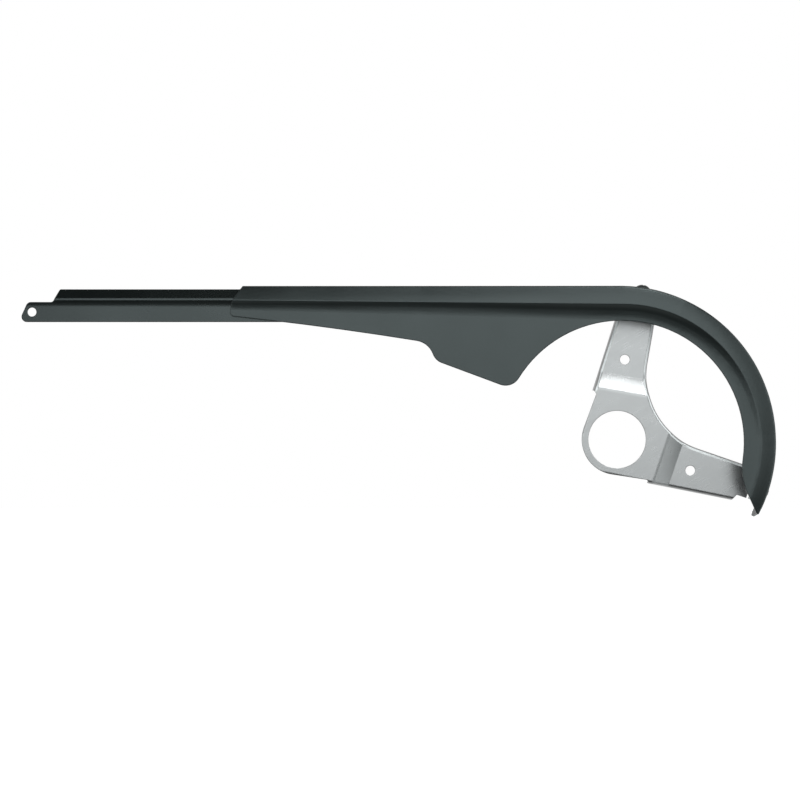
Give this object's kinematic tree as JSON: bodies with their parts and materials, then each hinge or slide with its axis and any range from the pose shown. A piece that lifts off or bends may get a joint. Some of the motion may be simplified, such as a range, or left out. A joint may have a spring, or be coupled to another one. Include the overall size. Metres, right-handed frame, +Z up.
{
  "type": "bicycle chain guard",
  "caption": "Slim moulded bicycle chain guard that covers the chain and chainring, with a telescoping rear extension and a folded steel bracket for the bottom bracket.",
  "frame": {"origin": "centre of the bottom bracket bore, on the ring's inboard face, which seats on the shell", "axes": "+X to the front of the bicycle, +Y inboard to the frame, +Z up"},
  "size_m": [0.4535, 0.0358, 0.1405],
  "materials": {
    "guard_plastic": "satin",
    "extension_plastic": "satin",
    "bracket_steel": "zinc plated, satin",
    "screw_steel": "zinc plated, dark",
    "nut_steel": "zinc plated"
  },
  "bodies": {
    "guard": {"front_guard": "guard_plastic", "mounting_bracket": "bracket_steel", "guard_screws": "screw_steel", "guard_nuts": "nut_steel"},
    "extension": {"rear_extension": "extension_plastic"}
  },
  "joints": [
    {"name": "extension_slide", "type": "slide", "parent": "guard", "child": "extension", "axis": [1, 0, 0], "range_m": [-0.03, 0.06]}
  ]
}
